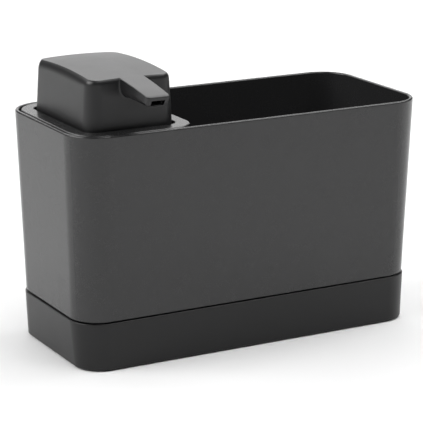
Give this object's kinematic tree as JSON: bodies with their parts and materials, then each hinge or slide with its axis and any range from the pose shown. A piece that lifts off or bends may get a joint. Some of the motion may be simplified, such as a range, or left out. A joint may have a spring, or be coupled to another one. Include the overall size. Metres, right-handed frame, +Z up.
{
  "type": "soap pump caddy",
  "caption": "Tapered sink caddy in a drip tray, with a soap bottle and a press pump with a domed head built into its left end.",
  "frame": {"origin": "on the surface that the object stands on, below the middle of its bounding box, spout included", "axes": "+Z up, +X along the caddy from the pump end to the open end, -Y to the front, where the spout points"},
  "size_m": [0.2, 0.1076, 0.1482],
  "materials": {
    "caddy_plastic": "satin dark grey with a fine moulded texture",
    "tray_plastic": "satin near-black with a fine moulded texture",
    "bottle_plastic": "smooth dark grey",
    "pump_plastic": "smooth natural white",
    "tube_plastic": "smooth milky",
    "core_plastic": "smooth black",
    "seal_plastic": "smooth soft grey",
    "rubber": "dull black",
    "steel": "bright drawn steel"
  },
  "bodies": {
    "tray": {"base_tray": "tray_plastic", "foot_pads": "rubber"},
    "caddy": {"caddy_body": "caddy_plastic"},
    "bottle": {"reservoir": "bottle_plastic"},
    "deck": {"deck_plate": "caddy_plastic", "deck_seal": "rubber", "pump_cylinder": "pump_plastic", "cylinder_gasket": "rubber", "lock_collar": "pump_plastic", "stem_guide": "pump_plastic", "stem_wiper": "rubber", "inlet_cage": "pump_plastic", "dip_tube": "tube_plastic", "return_spring": "steel"},
    "head": {"pump_head": "tray_plastic", "actuator_core": "core_plastic", "spout_duct": "core_plastic", "pump_stem": "pump_plastic", "piston_seal": "seal_plastic", "piston_retainer": "pump_plastic"},
    "inlet_valve": {"inlet_ball": "steel"},
    "outlet_valve": {"outlet_ball": "steel"}
  },
  "joints": [
    {"name": "caddy_lift", "type": "slide", "parent": "tray", "child": "caddy", "axis": [0, 0, 1], "range_m": [0, 0.03]},
    {"name": "bottle_lift", "type": "slide", "parent": "caddy", "child": "bottle", "axis": [0, 0, 1], "range_m": [0, 0.11]},
    {"name": "deck_lift", "type": "slide", "parent": "bottle", "child": "deck", "axis": [0, 0, 1], "range_m": [0, 0.11]},
    {"name": "head_press", "type": "slide", "parent": "deck", "child": "head", "axis": [0, 0, -1], "range_m": [0, 0.012], "stiffness_N_per_m": 600, "springref_m": -0.008, "deforming": ["return_spring"]},
    {"name": "inlet_valve_lift", "type": "slide", "parent": "deck", "child": "inlet_valve", "axis": [0, 0, 1], "range_m": [0, 0.0012]},
    {"name": "outlet_valve_lift", "type": "slide", "parent": "head", "child": "outlet_valve", "axis": [0, 0, 1], "range_m": [0, 0.0012]}
  ]
}
